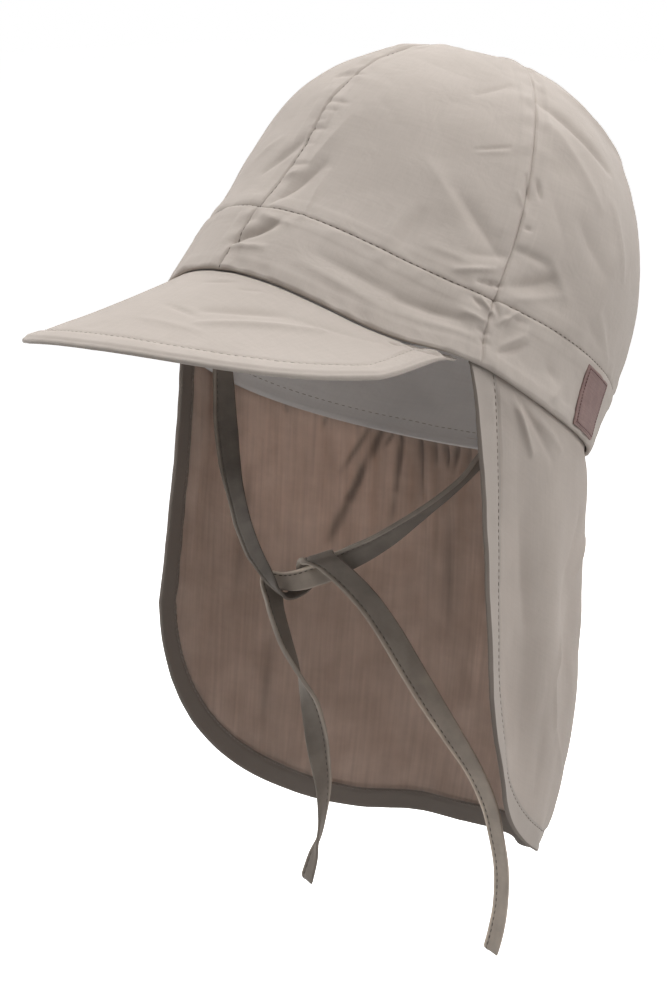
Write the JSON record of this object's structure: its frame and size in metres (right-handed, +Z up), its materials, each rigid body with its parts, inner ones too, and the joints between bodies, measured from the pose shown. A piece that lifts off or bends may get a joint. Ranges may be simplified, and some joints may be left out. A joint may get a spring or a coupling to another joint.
{
  "type": "child's sun cap with neck flap and chin ties",
  "caption": "Soft four-panel sun cap with a curved peak, a long neck flap and two thin chin ties in a half knot.",
  "frame": {"origin": "middle of the head opening, at the level of the rim's mean plane", "axes": "+Z up as worn, -Y to the front, where the peak points, +X to the wearer's left"},
  "size_m": [0.1578, 0.2211, 0.29],
  "materials": {
    "crown_cloth": "fine plain-weave cotton, matt",
    "lining_cloth": "thin plain-weave cotton, matt",
    "peak_cloth": "fine cotton over a stiff core, matt",
    "flap_cloth": "fine plain-weave cotton, matt",
    "tie_cloth": "folded cotton tape, matt",
    "label_weave": "bare woven label, slight sheen"
  },
  "bodies": {
    "root": {"panel_front_left": "crown_cloth", "panel_front_right": "crown_cloth", "panel_back_left": "crown_cloth", "panel_back_right": "crown_cloth", "band_front_left": "crown_cloth", "band_front_right": "crown_cloth", "band_back": "crown_cloth", "lining": "lining_cloth", "peak": "peak_cloth", "flap": "flap_cloth", "label": "label_weave", "tie_left": "tie_cloth", "tie_right": "tie_cloth"}
  },
  "joints": []
}
